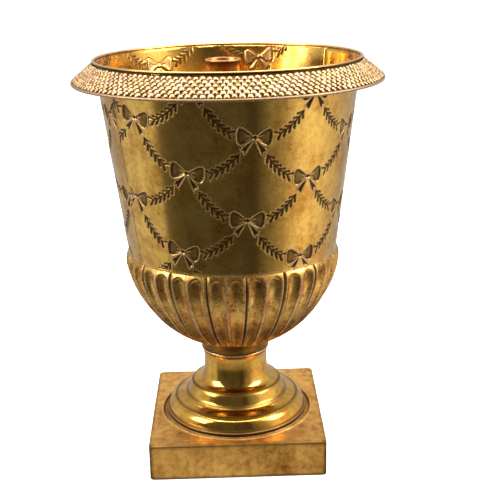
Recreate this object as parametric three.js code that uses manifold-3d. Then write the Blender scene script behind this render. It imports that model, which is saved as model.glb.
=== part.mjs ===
// Footed metal planter: an embossed brass urn with a fluted bowl, on a spun foot and a square plinth,
// with a beaded band under its rim and a copper tube standing inside.
// Millimetres, +Z up, the front faces -Y. The origin is the middle of the plinth's underside.
import * as THREE from 'three';
import { mergeVertices } from 'three/addons/utils/BufferGeometryUtils.js';
import Module from 'manifold-3d';

// Gap that parts resting on each other keep
const clearance = 0.3;

// Plinth: a box folded from sheet, open below, its edges turned in
const plinthSide = 130;
const plinthHeight = 27.5;
const plinthSheet = 1.2;
const plinthHem = 6;
const grooveWidth = 2.9;
const grooveDepth = 1.4;
const grooveLipWidth = 1;
const grooveLipHeight = 0.5;
const seatWidth = 8;

// Foot: spun from sheet, widest at its flange and narrowest at the waist
const footHeight = 52.2;
const footRadius = 54.4;
const waistRadius = 24.2;
const footSheet = 1.2;
const footBead = 0.7;

// Body: a plain band, a fluted bowl and a flaring embossed wall under a rolled lip
const bodyHeight = 219.4;
const bodySheet = 1.4;
const bandHeight = 11.6;
const bandRadius = 36.5;
const shoulderHeight = 80.2;
const shoulderRadius = 77.2;
const mouthFlare = 16.6;
const gadroonSwell = 2.2;
const gadroonCount = 36;
const fluteDepth = 2.6;
const lipRadius = 1.4;

// Embossed pattern, pressed in the flat into each of the two panels of the wall. Its rows hang from the rim:
// belowRim is how far under the rim the knots of the first full row lie
const bowPitch = 84.1;
const rowPitch = 28.4;
const embossDepth = 0.9;
const garlandLeaves = 2;
const leafReach = 3.4;
const stemHalfWidth = 0.7;
const panels = [
  { from: -54.5, to: 126, centre: 46.6, shift: -56.6, belowRim: 45.1 },
  { from: 126, to: 305.5, centre: 214.1, shift: 129.5, belowRim: 43.4 },
];

// Rim band: a sloping collar that hangs from under the lip
const collarReach = 16.6;
const collarDrop = 12.8;
const collarSheet = 1.2;
const hemRadius = 1.1;

// Tube: stands on the floor of the body and leans a little to the left
const tubeRadius = 12.2;
const tubeWall = 1.2;
const tubeBelowRim = 2.7;
const tubeFlare = 0.4;
const tubeFlareHeight = 1.6;
const tubeLean = -3.5;

// Fineness of the round parts
const collarSides = 36;
const footSides = 28;
const tubeSides = 20;
const bowlRows = 4;

const wasm = await Module();
wasm.setup();

const degrees = Math.PI / 180;

// Solids and geometries
function toSolid(geometry) {
  const bare = geometry.clone();
  bare.deleteAttribute('normal');
  bare.deleteAttribute('uv');
  const merged = mergeVertices(bare, 1e-4);
  return new wasm.Manifold(new wasm.Mesh({
    numProp: 3,
    vertProperties: new Float32Array(merged.attributes.position.array),
    triVerts: new Uint32Array(merged.index.array),
  }));
}

function toGeometry(solid) {
  const { vertProperties, triVerts } = solid.getMesh();
  const geometry = new THREE.BufferGeometry();
  geometry.setAttribute('position', new THREE.BufferAttribute(new Float32Array(vertProperties), 3));
  geometry.setIndex(new THREE.BufferAttribute(new Uint32Array(triVerts), 1));
  geometry.computeVertexNormals();
  return geometry;
}

// A solid of revolution about Z; the outline's points run upwards on the outside, as [radius, height]
function turned(outline, sides) {
  const points = outline.map(([radius, height]) => new THREE.Vector2(radius, height));
  points.push(points[0].clone());
  return toSolid(new THREE.LatheGeometry(points, sides).rotateX(Math.PI / 2));
}

function block(width, depth, low, high) {
  return toSolid(new THREE.BoxGeometry(width, depth, high - low).translate(0, 0, (low + high) / 2));
}

// Points of a curve, as [radius, height], without its first one
function along(points, count) {
  const controls = points.map(([radius, height]) => new THREE.Vector2(radius, height));
  const curve = new THREE.CubicBezierCurve(...controls);
  return curve.getPoints(count).slice(1).map((point) => [point.x, point.y]);
}

// An open outline moved inwards by the thickness of its sheet
function inset(outline, thickness) {
  return outline.map((point, i) => {
    const before = outline[Math.max(i - 1, 0)];
    const after = outline[Math.min(i + 1, outline.length - 1)];
    const step = [after[0] - before[0], after[1] - before[1]];
    const length = Math.hypot(...step);
    return [point[0] - (thickness * step[1]) / length, point[1] + (thickness * step[0]) / length];
  });
}

// Plinth
function plinth() {
  const half = plinthSide / 2;
  const top = plinthHeight;
  const plateUnder = top - plinthSheet;
  const grooveOuter = footRadius + grooveWidth;
  const inside = plinthSide - 2 * plinthSheet;
  const hole = footRadius - seatWidth;
  return block(plinthSide, plinthSide, 0, top)
    .subtract(block(inside, inside, plinthSheet, plateUnder))
    .subtract(block(2 * (half - plinthHem), 2 * (half - plinthHem), -plinthSheet, 2 * plinthSheet))
    .add(turned([
      [footRadius - plinthSheet, plateUnder - grooveDepth],
      [grooveOuter + plinthSheet, plateUnder - grooveDepth],
      [grooveOuter + plinthSheet, top - plinthSheet / 2],
      [footRadius - plinthSheet, top - plinthSheet / 2],
    ], footSides))
    .add(turned([
      [grooveOuter - grooveLipHeight, plateUnder],
      [grooveOuter + grooveLipWidth, plateUnder],
      [grooveOuter + grooveLipWidth, top],
      [grooveOuter + grooveLipWidth / 2, top + grooveLipHeight],
      [grooveOuter - grooveLipHeight, top + grooveLipHeight],
    ], footSides))
    .subtract(turned([
      [footRadius, top - grooveDepth],
      [grooveOuter, top - grooveDepth],
      [grooveOuter, 2 * top],
      [footRadius, 2 * top],
    ], footSides))
    .subtract(turned([
      [0, -top],
      [hole, -top],
      [hole, 2 * top],
      [0, 2 * top],
    ], footSides));
}

// Foot: its mouldings, from the flange up to the edge that ends the neck, are shares of the fall and of
// the spread
const flangeHeight = 2.4;
const neckShare = 0.47;
const neckEdgeShare = 0.3;

function footOutline() {
  const spread = footRadius - waistRadius;
  const neckFoot = neckShare * footHeight;
  const at = (outwards, upwards) => [
    waistRadius + outwards * spread,
    flangeHeight + upwards * (neckFoot - flangeHeight),
  ];
  const waistHeight = 0.82 * footHeight;
  return [
    [footRadius, 0],
    [footRadius, flangeHeight],
    at(0.95, 0),
    ...along([at(0.95, 0), at(0.95, 0.28), at(0.86, 0.4), at(0.76, 0.42)], 3),
    at(0.47, 0.58),
    at(0.41, 0.8),
    ...along([
      at(neckEdgeShare, 1),
      at(0.09, 1.04),
      [waistRadius - 0.3, neckFoot + 0.25 * (waistHeight - neckFoot)],
      [waistRadius, waistHeight],
    ], 4),
    [waistRadius + 1, footHeight - 2 * footBead],
    [waistRadius + 1 + footBead, footHeight - footBead],
    [waistRadius + 1, footHeight],
  ];
}

function foot() {
  const outline = footOutline();
  const neckFoot = neckShare * footHeight;
  const neckInside = waistRadius - footSheet;
  const inner = [
    [footRadius - 2.5 * footSheet, 0],
    [footRadius - 3 * footSheet, flangeHeight + footSheet],
    [0.6 * footRadius, 0.7 * neckFoot],
    [waistRadius + 2 * footSheet, 1.05 * neckFoot],
    [neckInside, 0.75 * footHeight],
    [neckInside, footHeight],
  ];
  return turned([...outline, ...inner.reverse()], footSides);
}

// Body
const bodyBase = plinthHeight + clearance + footHeight + clearance;
const wallTop = bodyHeight - 2 * lipRadius;
const mouthRadius = shoulderRadius + mouthFlare;
const wallSlope = mouthFlare / (wallTop - shoulderHeight);

function wallRadius(height) {
  return shoulderRadius + wallSlope * (height - shoulderHeight);
}

const crestRadius = shoulderRadius + gadroonSwell;
const crestHeight = shoulderHeight - 3.4 * gadroonSwell;

function bandOutline() {
  const under = waistRadius + 1;
  return [[under, 0], ...along([
    [under, 0],
    [under + 0.3, 0.3 * bandHeight],
    [under + 0.45 * (bandRadius - under), 0.7 * bandHeight],
    [bandRadius, bandHeight],
  ], 2)];
}

function bowlOutline() {
  const rise = crestHeight - bandHeight;
  const spread = crestRadius - bandRadius;
  return along([
    [bandRadius, bandHeight],
    [bandRadius + 0.56 * spread, bandHeight + 0.17 * rise],
    [crestRadius - 0.4, bandHeight + 0.72 * rise],
    [crestRadius, crestHeight],
  ], bowlRows);
}

// How deep the flutes are at each row of the bowl, as a share of their full depth
function fluteShare(row) {
  return Math.min(1, 0.45 + row / bowlRows);
}

// A closed skin around Z: rings from the lowest up, closed by a point on the axis at either end. A ring has
// as many corners as the ring below it, half as many or twice as many
function skin(rings) {
  const positions = rings.flat(2);
  const starts = [];
  rings.reduce((start, ring) => starts.push(start) && start + ring.length, 0);
  const index = [];
  const corner = (ring, column) => starts[ring] + (column % rings[ring].length);
  for (let ring = 0; ring < rings.length - 1; ring += 1) {
    const columns = Math.min(rings[ring].length, rings[ring + 1].length);
    const [below, above] = [rings[ring].length / columns, rings[ring + 1].length / columns];
    for (let column = 0; column < columns; column += 1) {
      const low = Array.from({ length: below + 1 }, (_, k) => corner(ring, column * below + k));
      const high = Array.from({ length: above + 1 }, (_, k) => corner(ring + 1, column * above + k));
      const cell = [...low, ...high.toReversed()];
      const start = cell.indexOf(above > 1 ? high[1] : low[1]);
      const fan = [...cell.slice(start), ...cell.slice(0, start)];
      for (let k = 1; k < fan.length - 1; k += 1) {
        index.push(fan[0], fan[k], fan[k + 1]);
      }
    }
  }
  const ends = [[0, 1], [rings.length - 1, -1]];
  for (const [ring, side] of ends) {
    const middle = positions.length / 3;
    positions.push(0, 0, rings[ring][0][2]);
    for (let column = 0; column < rings[ring].length; column += 1) {
      const edge = [corner(ring, column), corner(ring, column + 1)];
      index.push(middle, ...(side > 0 ? edge.reverse() : edge));
    }
  }
  const geometry = new THREE.BufferGeometry();
  geometry.setAttribute('position', new THREE.BufferAttribute(new Float32Array(positions), 3));
  geometry.setIndex(index);
  return toSolid(geometry);
}

// One ring of the body; depth is how far the flutes fall back between their ridges
function bodyRing([radius, height], depth, columns) {
  return Array.from({ length: columns }, (_, column) => {
    const angle = (2 * Math.PI * column) / columns;
    const reach = column % 2 === 0 ? radius : radius - depth;
    return [reach * Math.sin(angle), -reach * Math.cos(angle), height];
  });
}

function bodySkin(band, bowl, wall) {
  return skin([
    ...band.map((point) => bodyRing(point, 0, gadroonCount)),
    ...bowl.map((point, row) => bodyRing(point, fluteDepth * fluteShare(row), 2 * gadroonCount)),
    ...wall.map((point) => bodyRing(point, 0, gadroonCount)),
  ]);
}

function lipOutline() {
  const middle = [mouthRadius + 0.5 * lipRadius, bodyHeight - lipRadius];
  return [-110, 10, 130].map((turn) => [
    middle[0] + lipRadius * Math.cos(turn * degrees),
    middle[1] + lipRadius * Math.sin(turn * degrees),
  ]);
}

function bodyShell() {
  const band = bandOutline();
  const bowl = bowlOutline();
  const shoulder = [shoulderRadius, shoulderHeight];
  const outer = bodySkin(band, bowl, [shoulder, [mouthRadius, wallTop], ...lipOutline()]);

  const [under, ...above] = inset([...band, ...bowl, shoulder], bodySheet);
  const bandAbove = above.slice(0, band.length - 1);
  const bowlAbove = above.slice(band.length - 1, -1);
  const hollow = bodySkin([[under[0] - bodySheet, bodySheet], ...bandAbove], bowlAbove, [
    [shoulderRadius - bodySheet, shoulderHeight],
    [mouthRadius - bodySheet, wallTop],
    [mouthRadius - bodySheet, bodyHeight + lipRadius],
  ]);
  return outer.subtract(hollow);
}

// Embossing: a point of the flat sheet, measured from the apex of the wall's cone, lands on the wall
const coneAngle = Math.atan(wallSlope);
const apexHeight = shoulderHeight - shoulderRadius / wallSlope;

function onWall(x, y, panel, outwards) {
  const angle = panel.centre * degrees + Math.atan2(x, y) / Math.sin(coneAngle);
  const height = apexHeight + Math.hypot(x, y) * Math.cos(coneAngle);
  const radius = wallRadius(height) + outwards;
  return { angle, height, position: [radius * Math.sin(angle), -radius * Math.cos(angle), height] };
}

const mirrored = (points) => points.map(([x, y]) => [-x, y]).reverse();

// The right half of a bow, its loop and its tail; the knot's top and underside lie between the halves
const bowHalf = [[9.2, 6.6], [11.9, 3.6], [10.6, -4.6], [2.8, -1.9], [7.9, -8.4], [6, -11.6]];
const bowOutline = [[0, 1.6], ...bowHalf, [0, -2.4], ...mirrored(bowHalf)];

// A garland hangs from a tail of one bow to the loop of a bow in the row below
function garlandOutline() {
  const stem = new THREE.QuadraticBezierCurve(
    new THREE.Vector2(9.4, -12),
    new THREE.Vector2(0.38 * bowPitch / 2, -0.76 * rowPitch),
    new THREE.Vector2(bowPitch / 2 - 14.6, 1.2 - rowPitch),
  );
  const beside = (share, sideways) => {
    const point = stem.getPoint(share);
    const tangent = stem.getTangent(share);
    return [point.x - tangent.y * sideways, point.y + tangent.x * sideways];
  };
  const edge = (side) => Array.from({ length: garlandLeaves }, (_, leaf) => [
    beside((leaf + 0.2) / garlandLeaves, side * stemHalfWidth),
    beside((leaf + 1) / garlandLeaves, side * leafReach),
  ]).flat();
  return [...edge(-1), ...edge(1).reverse()];
}

const garlandRight = garlandOutline();
const garlandLeft = mirrored(garlandRight);

// A tool that presses one motif into the wall, or nothing where the motif leaves the plain part of the wall
function punch(outline, knot, panel, highest) {
  const places = outline.map(([x, y]) => onWall(knot.x + x, knot.y + y, panel, 0));
  const lowest = shoulderHeight + 2 * embossDepth;
  if (places.some(({ height }) => height < lowest || height > highest)) {
    return [];
  }
  const shape = new THREE.Shape(outline.map(([x, y]) => new THREE.Vector2(x, y)));
  const geometry = new THREE.ExtrudeGeometry(shape, { depth: 1, steps: 1, bevelEnabled: false });
  const position = geometry.attributes.position;
  for (let i = 0; i < position.count; i += 1) {
    const outwards = position.getZ(i) > 0.5 ? bodySheet : -embossDepth;
    const place = onWall(knot.x + position.getX(i), knot.y + position.getY(i), panel, outwards);
    position.setXYZ(i, ...place.position);
  }
  return [toSolid(geometry)];
}

function punches() {
  const tools = [];
  const underCollar = wallTop - collarDrop;
  for (const panel of panels) {
    const firstRow = (bodyHeight - panel.belowRim - apexHeight) / Math.cos(coneAngle);
    const rows = Math.ceil((wallTop - shoulderHeight) / rowPitch) + 1;
    const across = Math.ceil((Math.PI * mouthRadius) / bowPitch) + 1;
    for (let row = -1; row < rows; row += 1) {
      for (let column = -across; column <= across; column += 1) {
        const half = row % 2 === 0 ? 0 : 0.5;
        const knot = { x: panel.shift + (column + half) * bowPitch, y: firstRow - row * rowPitch };
        const turn = onWall(knot.x, knot.y, panel, 0).angle / degrees;
        if (turn > panel.from && turn < panel.to) {
          tools.push(
            ...punch(bowOutline, knot, panel, underCollar),
            ...punch(garlandRight, knot, panel, wallTop - 2 * lipRadius),
            ...punch(garlandLeft, knot, panel, wallTop - 2 * lipRadius),
          );
        }
      }
    }
  }
  return tools;
}

function body() {
  return punches().reduce((solid, tool) => solid.subtract(tool), bodyShell());
}

// Rim band: its upper edge sits under the lip and its lower edge is rolled into a hem
function rimBand() {
  const inner = mouthRadius + clearance;
  const top = wallTop - clearance;
  const hem = [inner + collarReach - hemRadius, top - collarDrop];
  const rolled = [60, 0, -60, -120, -180].map((turn) => [
    hem[0] + hemRadius * Math.cos(turn * degrees),
    hem[1] + hemRadius * Math.sin(turn * degrees),
  ]);
  return turned([
    [inner, top - collarSheet],
    [hem[0] - hemRadius, hem[1]],
    ...rolled.reverse().slice(1),
    [inner + collarSheet, top],
    [inner, top],
  ], collarSides);
}

// Tube, from the floor of the body to just under the rim
function centreTube() {
  const height = bodyHeight - tubeBelowRim - bodySheet - clearance;
  const bore = tubeRadius - tubeWall;
  const straight = turned([
    [bore, 0],
    [tubeRadius, 0],
    [tubeRadius, height - tubeFlareHeight],
    [tubeRadius + tubeFlare, height - tubeFlareHeight / 2],
    [tubeRadius + tubeFlare, height],
    [bore, height],
  ], tubeSides);
  return toSolid(toGeometry(straight).applyMatrix4(
    new THREE.Matrix4().makeShear(0, 0, 0, 0, tubeLean / height, 0),
  ));
}

// Finishes
const finishes = {
  satinBrass: { color: 0xa8782e, roughness: 0.42, metalness: 1 },
  polishedBrass: { color: 0xc08d32, roughness: 0.18, metalness: 1 },
  embossedBrass: { color: 0xb98a38, roughness: 0.22, metalness: 1 },
  beadedBrass: { color: 0xd2b26a, roughness: 0.3, metalness: 1 },
  copper: { color: 0x8c4a20, roughness: 0.3, metalness: 1 },
};

function piece(name, solid, finish, height) {
  const mesh = new THREE.Mesh(toGeometry(solid), new THREE.MeshStandardMaterial(finishes[finish]));
  mesh.name = name;
  mesh.position.z = height;
  return mesh;
}

const planter = new THREE.Group();
planter.add(
  piece('plinth', plinth(), 'satinBrass', 0),
  piece('foot', foot(), 'polishedBrass', plinthHeight + clearance),
  piece('body', body(), 'embossedBrass', bodyBase),
  piece('rim_band', rimBand(), 'beadedBrass', bodyBase),
  piece('centre_tube', centreTube(), 'copper', bodyBase + bodySheet + clearance),
);

export default planter;
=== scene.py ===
# Footed metal planter: an embossed brass urn with a fluted bowl, on a spun foot and a square plinth.
# Sizes are millimetres and angles degrees, turned to metres and radians where a mesh is made.
import itertools
import math

import bmesh
import bpy
import numpy as np
from mathutils import Matrix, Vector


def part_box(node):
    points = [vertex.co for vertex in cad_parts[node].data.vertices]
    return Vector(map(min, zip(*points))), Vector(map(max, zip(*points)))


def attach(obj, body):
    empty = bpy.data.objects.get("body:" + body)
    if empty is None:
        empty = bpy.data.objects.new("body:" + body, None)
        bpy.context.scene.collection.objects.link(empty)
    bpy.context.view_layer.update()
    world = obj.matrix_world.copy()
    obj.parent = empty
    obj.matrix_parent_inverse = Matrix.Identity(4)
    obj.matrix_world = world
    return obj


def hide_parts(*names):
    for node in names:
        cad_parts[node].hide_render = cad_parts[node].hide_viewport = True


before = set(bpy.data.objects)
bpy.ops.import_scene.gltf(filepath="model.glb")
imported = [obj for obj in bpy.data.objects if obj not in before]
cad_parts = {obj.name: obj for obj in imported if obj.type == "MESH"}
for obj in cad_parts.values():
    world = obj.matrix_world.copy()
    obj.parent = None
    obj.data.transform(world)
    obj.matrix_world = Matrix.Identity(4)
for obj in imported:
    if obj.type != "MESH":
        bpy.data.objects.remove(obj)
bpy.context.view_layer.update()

MM = 0.001

# Camera: where the photograph was taken from
CAMERA_PLACE = (-0.25, -683.4, 370.7)
CAMERA_LENS = 68.7
CAMERA_DOWN = 17.526
CAMERA_TO_RIGHT = 1.107
CAMERA_TILT = 1.172

# Heights and radii of the pieces, from the frame
FOOT_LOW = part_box("foot")[0].z / MM
FOOT_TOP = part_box("foot")[1].z / MM
FOOT_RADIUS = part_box("foot")[1].x / MM
PLINTH_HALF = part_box("plinth")[1].x / MM
BODY_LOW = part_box("body")[0].z / MM
BODY_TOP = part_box("body")[1].z / MM
COLLAR_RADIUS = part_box("rim_band")[1].x / MM
TUBE_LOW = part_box("centre_tube")[0].z / MM
TUBE_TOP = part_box("centre_tube")[1].z / MM

# Body: the wall is a cone, the bowl below it has 36 flutes
SHEET = 1.4
SHOULDER_HEIGHT = 160.5
SHOULDER_RADIUS = 77.2
WALL_TOP = 297.0
WALL_SLOPE = 16.6 / 136.4
BAND_RADIUS = 36.5
BAND_HEIGHT = 91.9
WAIST_RADIUS = 25.2
CREST_SWELL = 2.2
CREST_HEIGHT = 153
FLUTE_DEPTH = 2.8
LIP_RADIUS = 1.4
SEAM_LAP = 2.0
SEAM_LIFT = 0.45
WALL_TUCK = 0.6
WALL_OVER = 0.4
WALL_DENTS = 0.28
BOWL_DENTS = 0.22

# Flutes: degrees between two ridges, and as shares of that the place of the first ridge and half the width
# of a pair of ridges, of a single one and of the groove in a pair; then the groove's depth and the mesh
RIDGE_STEP = 10
FIRST_RIDGE = 0.64
PAIR_HALF = 0.14
SINGLE_HALF = 0.065
GROOVE_HALF = 0.05
GROOVE_DEPTH = 1.5
BOWL_COLUMNS = 1008
BOWL_ROWS = 69

# Embossed pattern of the wall's two panels, each pressed in the flat and rolled
BOW_PITCH = 84.1
ROW_PITCH = 28.4
EMBOSS_DEPTH = 0.7
KNOT_RADIUS = 1.3
PANELS = {
    "front": {"from": -54.5, "to": 126.0, "centre": 46.6, "shift": -56.6, "height": 254.6},
    "back": {"from": 126.0, "to": 305.5, "centre": 214.1, "shift": 129.5, "height": 256.3},
}

# Wall mesh: a cell of the sheet, the steps it is split into beside the embossing, and the height above which
# the inner side shows
CELL = 1.56
STEPS = 3
INSIDE_SHOWS = 252

# Rim band
BEADS_ROUND = 141
BEAD_ROWS = 6
BEAD_RADIUS = 2.3
BEAD_FLATNESS = 0.5
BEAD_TILT = 13
BEAD_SIZES = (0.84, 1.08)
SIZE_SEED = 4
TILT_SEED = 7

# Tube
TUBE_RADIUS = 12.2
TUBE_BORE = 11.0
TUBE_LEAN = -3.5

# Studio: the floor, where its near part starts to fade and where it ends, how bright that and the ceiling
# look in the brass, and what the lamps point at
FLOOR_RADIUS = 60000
FLOOR_SIDES = 64
FLOOR_GAP = 0.05
NEAR_FLOOR = (120, 200)
NEAR_FLOOR_LIGHT = 0.78
OVERHEAD_LIGHT = 0.4
LAMP_AIM = (0, 0, 150)


# Nodes
MATH = "ShaderNodeMath"
MIX = "ShaderNodeMix"
NOISE = "ShaderNodeTexNoise"
RANGE = "ShaderNodeMapRange"
XYZ = "ShaderNodeCombineXYZ"
MULTIPLY = {"operation": "MULTIPLY"}
ADD = {"operation": "ADD"}
MULTIPLY_ADD = {"operation": "MULTIPLY_ADD"}
COLOURS = {"data_type": "RGBA"}


def add_node(tree, kind, settings=None, links=None):
    """Adds a node; links gives each input a value, a socket, or a node for its first output."""
    node = tree.nodes.new(kind)
    for name, value in (settings or {}).items():
        setattr(node, name, value)
    for name, value in (links or {}).items():
        if isinstance(value, bpy.types.Node):
            value = value.outputs[0]
        if isinstance(value, bpy.types.NodeSocket):
            tree.links.new(value, node.inputs[name])
        else:
            node.inputs[name].default_value = value
    return node


# Meshes
def make_piece(name, points, faces, slot, replaces, fields, finish=None):
    """A closed, smooth mesh from points in millimetres, with named values on its points."""
    mesh = bpy.data.meshes.new(name)
    mesh.from_pydata((np.asarray(points) * MM).tolist(), [], [list(map(int, face)) for face in faces])
    add_fields(mesh, fields)
    mesh.shade_smooth()
    return finish_piece(mesh, slot, replaces, finish)


def add_fields(mesh, fields):
    for field, values in fields.items():
        mesh.attributes.new(field, "FLOAT", "POINT").data.foreach_set("value", np.asarray(values, np.float32))


def finish_piece(mesh, slot, replaces, finish=None):
    """An object of a mesh, with the finish that finish or slot names, under the root empty; the solid that
    it stands for is hidden.
    """
    piece = bpy.data.objects.new(mesh.name, mesh)
    bpy.context.scene.collection.objects.link(piece)
    mesh.materials.clear()
    mesh.materials.append(FINISHES[finish or slot])
    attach(piece, "root")
    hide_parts(replaces)
    return piece


def grid_faces(rows, columns, start=0, looped=False):
    """Faces between the rings of a round piece; looped joins the last ring to the first."""
    row, column = np.meshgrid(np.arange(rows if looped else rows - 1), np.arange(columns), indexing="ij")
    above, right = (row + 1) % rows, (column + 1) % columns
    corners = ((row, column), (row, right), (above, right), (above, column))
    return np.stack([ring * columns + place for ring, place in corners], axis=-1).reshape(-1, 4) + start


def round_shell(outer, inner):
    """Points and faces of a round sheet whose inner side has every second point of its outer side."""
    rows, columns = outer.shape[:2]
    start = rows * columns
    faces = [*grid_faces(rows, columns), *grid_faces(*inner.shape[:2], start)[:, ::-1]]
    ids = np.arange(start).reshape(rows, columns)
    inner_ids = start + np.arange(inner.shape[0] * inner.shape[1]).reshape(inner.shape[:2])
    for ring, upwards in ((0, -1), (-1, 1)):
        line, inner_line = np.append(ids[ring], ids[ring][0]), np.append(inner_ids[ring], inner_ids[ring][0])
        for k in range(columns // 2):
            face = [*line[2 * k:2 * k + 3], inner_line[k + 1], inner_line[k]]
            faces.append(face[::upwards])
    return np.concatenate([outer.reshape(-1, 3), inner.reshape(-1, 3)]), faces


def side_faces(ids, split):
    """Faces of one side of a sheet. Marked cells are split into their steps, and a whole cell takes in the
    points that a split cell beside it has on their common side."""
    steps = np.repeat(np.repeat(split, STEPS, 0), STEPS, 1)
    faces = np.stack([ids[:-1, :-1], ids[:-1, 1:], ids[1:, 1:], ids[1:, :-1]], axis=-1)[steps].tolist()
    beside = np.pad(split, 1)
    for row, column in np.argwhere(~split):
        low, left = row * STEPS, column * STEPS
        high, right = low + STEPS, left + STEPS
        sides = (
            (ids[low, left:right], beside[row, column + 1]),
            (ids[low:high, right], beside[row + 1, column + 2]),
            (ids[high, left + 1:right + 1][::-1], beside[row + 2, column + 1]),
            (ids[low + 1:high + 1, left][::-1], beside[row + 1, column]),
        )
        faces.append([point for line, dense in sides for point in (line if dense else line[:1]).tolist()])
    return faces


def split_sheet(outer, inner, outer_split, inner_split):
    """Points and faces of an open sheet with an outer and an inner side, and which grid points they use."""
    height, width = outer.shape[:2]
    ids = np.arange(height * width).reshape(height, width)
    inner_ids = ids + height * width
    faces = side_faces(ids, outer_split) + [face[::-1] for face in side_faces(inner_ids, inner_split)]
    borders = ((np.s_[0, :], -1), (np.s_[-1, :], 1), (np.s_[:, 0], 1), (np.s_[:, -1], -1))
    for border, way in borders:
        for cell, (dense, inner_dense) in enumerate(zip(outer_split[border], inner_split[border])):
            ends = slice(cell * STEPS, (cell + 1) * STEPS + 1)
            there = ids[border][ends][::1 if dense else STEPS].tolist()
            back = inner_ids[border][ends][::1 if inner_dense else STEPS].tolist()
            faces.append((there + back[::-1])[::way])
    used = np.unique(np.fromiter(itertools.chain.from_iterable(faces), int))
    renumbered = np.zeros(2 * height * width, int)
    renumbered[used] = np.arange(len(used))
    renumbered = renumbered.tolist()
    points = np.concatenate([outer.reshape(-1, 3), inner.reshape(-1, 3)])[used]
    return points, [[renumbered[point] for point in face] for face in faces], used


def around(radius, angle, height):
    """Points at an angle in radians, from the front towards the right."""
    return np.stack(np.broadcast_arrays(radius * np.sin(angle), -radius * np.cos(angle), height), axis=-1)


def turned(name, outline, sides, slot, replaces, fields, move=None):
    """A solid of revolution from a closed outline that runs upwards on the outside."""
    outline = np.array(outline, float)
    angle = np.linspace(0, 2 * math.pi, sides, endpoint=False)
    points = around(outline[:, :1], angle[None, :], outline[:, 1:])
    if move is not None:
        points = move(points)
    faces = grid_faces(len(outline), sides, looped=True)
    spread = {field: np.repeat(values, sides) for field, values in fields.items()}
    piece = make_piece(name, points.reshape(-1, 3), faces, slot, replaces, spread)
    if outline[:, 0].min() < MM:
        close_poles(piece.data)
    return piece


def close_poles(mesh):
    shape = bmesh.new()
    shape.from_mesh(mesh)
    bmesh.ops.remove_doubles(shape, verts=shape.verts, dist=1e-7)
    bmesh.ops.dissolve_degenerate(shape, edges=shape.edges, dist=1e-8)
    loose = [edge for edge in shape.edges if not edge.link_faces]
    bmesh.ops.delete(shape, geom=loose, context="EDGES")
    shape.to_mesh(mesh)
    shape.free()


def smooth_step(low, high, value):
    share = np.clip((value - low) / (high - low), 0, 1)
    return share * share * (3 - 2 * share)


def bump(value, width):
    return np.exp(-(value / width) ** 2)


def bezier(points, count):
    """Points along a cubic curve, the last one left out."""
    share = np.arange(count)[:, None] / count
    a, b, c, d = (np.array(point, float) for point in points)
    rest = 1 - share
    return rest**3 * a + 3 * rest**2 * share * b + 3 * rest * share**2 * c + share**3 * d


def arc(centre, radius, start, end, count):
    turn = np.radians(np.linspace(start, end, count))
    return np.stack([centre[0] + radius * np.cos(turn), centre[1] + radius * np.sin(turn)], axis=-1)


def dents(angle, height, depth):
    """The slow unevenness of hand-worked sheet."""
    waves = ((3, 0.047, 0.4), (5, -0.031, 2.1), (8, 0.062, 4.4), (11, -0.055, 1.3), (2, 0.083, 5.2))
    total = sum(np.sin(turns * angle + rate * height + phase) for turns, rate, phase in waves)
    return depth * total / len(waves)


# Embossed pattern, in the flat: x across from a bow's knot, y up from it, both in millimetres
LOOP = (
    (1.7, 0.9), (5.3, 3.9), (8.7, 5.9), (11.0, 5.0), (11.5, 1.0),
    (10.9, -3.2), (9.0, -4.9), (5.9, -3.7), (1.8, -1.1),
)
TAIL = ((1.1, -2.0), (3.4, -3.7), (7.4, -7.4), (7.9, -9.4), (6.6, -9.0), (5.6, -11.2))
POINTS_PER_SIDE = 4
CREASES = (((2.6, 0.5), (5.6, 1.5)), ((2.4, -0.9), (5.4, -2.3)))
CREASE_HALVES = (0.35, 0.2)
CREASE_RISE = 0.3
BORDER_RISE = 0.18
STEM = ((9.2, -11.6), (15.6, -21.0), (25.4, -26.0))
STEM_HALF = 0.5
STEM_POINTS = 25
POINTS_PER_STROKE = 4
FIRST_LEAF = 0.6
LEAF_STEP = 4.1
LEAF_LENGTH = 4.4
LEAF_SPREAD = 37
LEAF_ROOT_HALF = 0.5
LEAF_TIP_HALF = 0.74

# How far a motif reaches from its knot, the rows and columns of knots that can fall on a panel, and a
# distance beyond any in the pattern
MOTIF_ASIDE = 36
MOTIF_ABOVE = 9
MOTIF_BELOW = 35
ROWS = range(-2, 6)
COLUMNS = range(-5, 6)
FAR_OFF = 1e9


def rounded(corners):
    """A closed curve through a few corners."""
    corners = np.array(corners, float)
    before, after, beyond = np.roll(corners, 1, 0), np.roll(corners, -1, 0), np.roll(corners, -2, 0)
    curve = []
    for share in np.arange(POINTS_PER_SIDE) / POINTS_PER_SIDE:
        square, cube = share**2, share**3
        curve.append(0.5 * (2 * corners + (after - before) * share
                            + (2 * before - 5 * corners + 4 * after - beyond) * square
                            + (3 * corners - before - 3 * after + beyond) * cube))
    return np.stack(curve, axis=1).reshape(-1, 2)


def from_side(x, y, start, end):
    """How far points are from a straight side, and how far along it they lie, as a share of its length."""
    (start_x, start_y), (run, rise) = start, np.subtract(end, start)
    share = np.clip(((x - start_x) * run + (y - start_y) * rise) / (run**2 + rise**2), 0, 1)
    return np.hypot(x - start_x - share * run, y - start_y - share * rise), share


def inside_depth(x, y, outline):
    """How far points lie inside an outline, negative outside it."""
    nearest = np.full(x.shape, FAR_OFF)
    crossings = np.zeros(x.shape, int)
    for start, end in zip(outline, np.roll(outline, -1, 0)):
        nearest = np.minimum(nearest, from_side(x, y, start, end)[0])
        run, rise = end - start
        if rise:
            spans = (start[1] > y) != (end[1] > y)
            crossings += spans & (x < start[0] + (y - start[1]) * run / rise)
    return np.where(crossings % 2 == 1, nearest, -nearest)


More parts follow.
